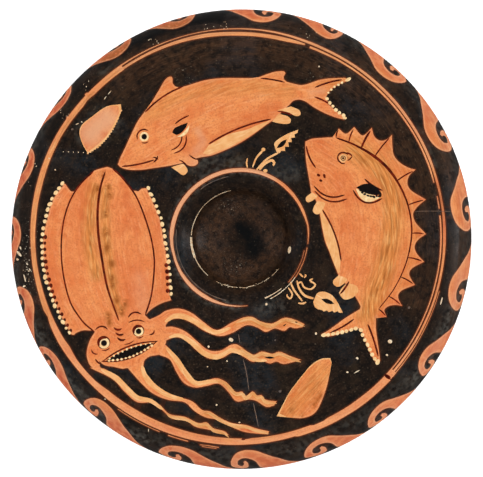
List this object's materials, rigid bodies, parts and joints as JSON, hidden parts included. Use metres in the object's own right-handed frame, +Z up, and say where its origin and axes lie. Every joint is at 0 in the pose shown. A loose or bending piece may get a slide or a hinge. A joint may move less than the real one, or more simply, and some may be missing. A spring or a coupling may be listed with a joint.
{
  "type": "red-figure fish plate",
  "caption": "Round pottery serving plate on a ring foot, with a gently sloping floor, a sunken sauce cup in the middle and a deep overhanging rim; painted with sea creatures.",
  "frame": {"origin": "centre of the foot's resting plane, on the wheel axis", "axes": "+Z up along the wheel axis; +Y towards the top of the painted picture as pictured, +X to its right"},
  "size_m": [0.233, 0.233, 0.047],
  "materials": {
    "painted_earthenware": "orange earthenware with a semi-gloss black slip, reserved and cream-painted figures, worn"
  },
  "bodies": {
    "root": {"fish_plate": "painted_earthenware"}
  },
  "joints": []
}
